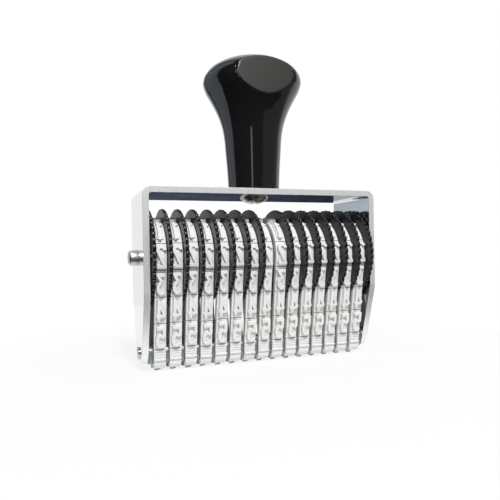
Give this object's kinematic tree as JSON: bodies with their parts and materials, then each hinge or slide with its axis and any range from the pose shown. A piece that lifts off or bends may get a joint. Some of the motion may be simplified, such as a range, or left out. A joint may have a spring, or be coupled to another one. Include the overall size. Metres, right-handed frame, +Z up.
{
  "type": "hand-held numbering machine",
  "caption": "Hand-held numbering stamp: rubber figure bands run round toothed thumb wheels on an axle in a bent plated steel frame, under a black turned handle.",
  "frame": {"origin": "middle of the print face, where the lowest row of figures touches the paper", "axes": "+X across the bands along the axle, -Y towards the front with the thumb flat on the handle, +Z up along the handle"},
  "size_m": [0.065, 0.0245, 0.078],
  "materials": {
    "plated_steel": "bright plated sheet steel, mirror-like, with a faint cool tint",
    "black_gloss": "polished black plastic",
    "brass": "turned",
    "screw_steel": "bright zinc plated, turned",
    "axle_steel": "ground rod",
    "cap_steel": "nickel plated, soft gloss",
    "spacer_grey": "moulded, satin",
    "bar_steel": "drawn flat bar",
    "separator_steel": "plated sheet with a grey-green tint",
    "band_rubber": "light grey moulded rubber, satin",
    "wheel_black": "black moulded plastic with small highlights on the teeth"
  },
  "bodies": {
    "root": {"frame": "plated_steel", "handle": "black_gloss", "handle_insert": "brass", "handle_screw": "screw_steel", "handle_washer": "screw_steel", "axle": "axle_steel", "axle_cap_left": "cap_steel", "axle_cap_right": "cap_steel", "centre_spacer": "spacer_grey", "foot_bar": "bar_steel", "foot_screw_left": "screw_steel", "foot_screw_right": "screw_steel", "separator_01": "separator_steel", "separator_02": "separator_steel", "separator_03": "separator_steel", "separator_04": "separator_steel", "separator_05": "separator_steel", "separator_06": "separator_steel", "separator_07": "separator_steel", "separator_08": "separator_steel", "separator_09": "separator_steel", "separator_10": "separator_steel", "separator_11": "separator_steel", "separator_12": "separator_steel", "separator_13": "separator_steel", "separator_14": "separator_steel", "separator_15": "separator_steel", "separator_16": "separator_steel", "number_band_01": "band_rubber", "number_band_02": "band_rubber", "number_band_03": "band_rubber", "number_band_04": "band_rubber", "number_band_05": "band_rubber", "number_band_06": "band_rubber", "number_band_07": "band_rubber", "number_band_08": "band_rubber", "number_band_09": "band_rubber", "number_band_10": "band_rubber", "number_band_11": "band_rubber", "number_band_12": "band_rubber", "number_band_13": "band_rubber", "number_band_14": "band_rubber", "number_band_15": "band_rubber"},
    "wheel_01": {"number_wheel_01": "wheel_black"},
    "wheel_02": {"number_wheel_02": "wheel_black"},
    "wheel_03": {"number_wheel_03": "wheel_black"},
    "wheel_04": {"number_wheel_04": "wheel_black"},
    "wheel_05": {"number_wheel_05": "wheel_black"},
    "wheel_06": {"number_wheel_06": "wheel_black"},
    "wheel_07": {"number_wheel_07": "wheel_black"},
    "wheel_08": {"number_wheel_08": "wheel_black"},
    "wheel_09": {"number_wheel_09": "wheel_black"},
    "wheel_10": {"number_wheel_10": "wheel_black"},
    "wheel_11": {"number_wheel_11": "wheel_black"},
    "wheel_12": {"number_wheel_12": "wheel_black"},
    "wheel_13": {"number_wheel_13": "wheel_black"},
    "wheel_14": {"number_wheel_14": "wheel_black"},
    "wheel_15": {"number_wheel_15": "wheel_black"}
  },
  "joints": [
    {"name": "wheel_01_turn", "type": "hinge", "parent": "root", "child": "wheel_01", "pos_m": [-0.02625, 0, 0.02695], "axis": [1, 0, 0], "continuous": true},
    {"name": "wheel_02_turn", "type": "hinge", "parent": "root", "child": "wheel_02", "pos_m": [-0.0225, 0, 0.02695], "axis": [1, 0, 0], "continuous": true},
    {"name": "wheel_03_turn", "type": "hinge", "parent": "root", "child": "wheel_03", "pos_m": [-0.01875, 0, 0.02695], "axis": [1, 0, 0], "continuous": true},
    {"name": "wheel_04_turn", "type": "hinge", "parent": "root", "child": "wheel_04", "pos_m": [-0.015, 0, 0.02695], "axis": [1, 0, 0], "continuous": true},
    {"name": "wheel_05_turn", "type": "hinge", "parent": "root", "child": "wheel_05", "pos_m": [-0.01125, 0, 0.02695], "axis": [1, 0, 0], "continuous": true},
    {"name": "wheel_06_turn", "type": "hinge", "parent": "root", "child": "wheel_06", "pos_m": [-0.0075, 0, 0.02695], "axis": [1, 0, 0], "continuous": true},
    {"name": "wheel_07_turn", "type": "hinge", "parent": "root", "child": "wheel_07", "pos_m": [-0.00375, 0, 0.02695], "axis": [1, 0, 0], "continuous": true},
    {"name": "wheel_08_turn", "type": "hinge", "parent": "root", "child": "wheel_08", "pos_m": [0, 0, 0.02695], "axis": [1, 0, 0], "continuous": true},
    {"name": "wheel_09_turn", "type": "hinge", "parent": "root", "child": "wheel_09", "pos_m": [0.00375, 0, 0.02695], "axis": [1, 0, 0], "continuous": true},
    {"name": "wheel_10_turn", "type": "hinge", "parent": "root", "child": "wheel_10", "pos_m": [0.0075, 0, 0.02695], "axis": [1, 0, 0], "continuous": true},
    {"name": "wheel_11_turn", "type": "hinge", "parent": "root", "child": "wheel_11", "pos_m": [0.01125, 0, 0.02695], "axis": [1, 0, 0], "continuous": true},
    {"name": "wheel_12_turn", "type": "hinge", "parent": "root", "child": "wheel_12", "pos_m": [0.015, 0, 0.02695], "axis": [1, 0, 0], "continuous": true},
    {"name": "wheel_13_turn", "type": "hinge", "parent": "root", "child": "wheel_13", "pos_m": [0.01875, 0, 0.02695], "axis": [1, 0, 0], "continuous": true},
    {"name": "wheel_14_turn", "type": "hinge", "parent": "root", "child": "wheel_14", "pos_m": [0.0225, 0, 0.02695], "axis": [1, 0, 0], "continuous": true},
    {"name": "wheel_15_turn", "type": "hinge", "parent": "root", "child": "wheel_15", "pos_m": [0.02625, 0, 0.02695], "axis": [1, 0, 0], "continuous": true}
  ]
}
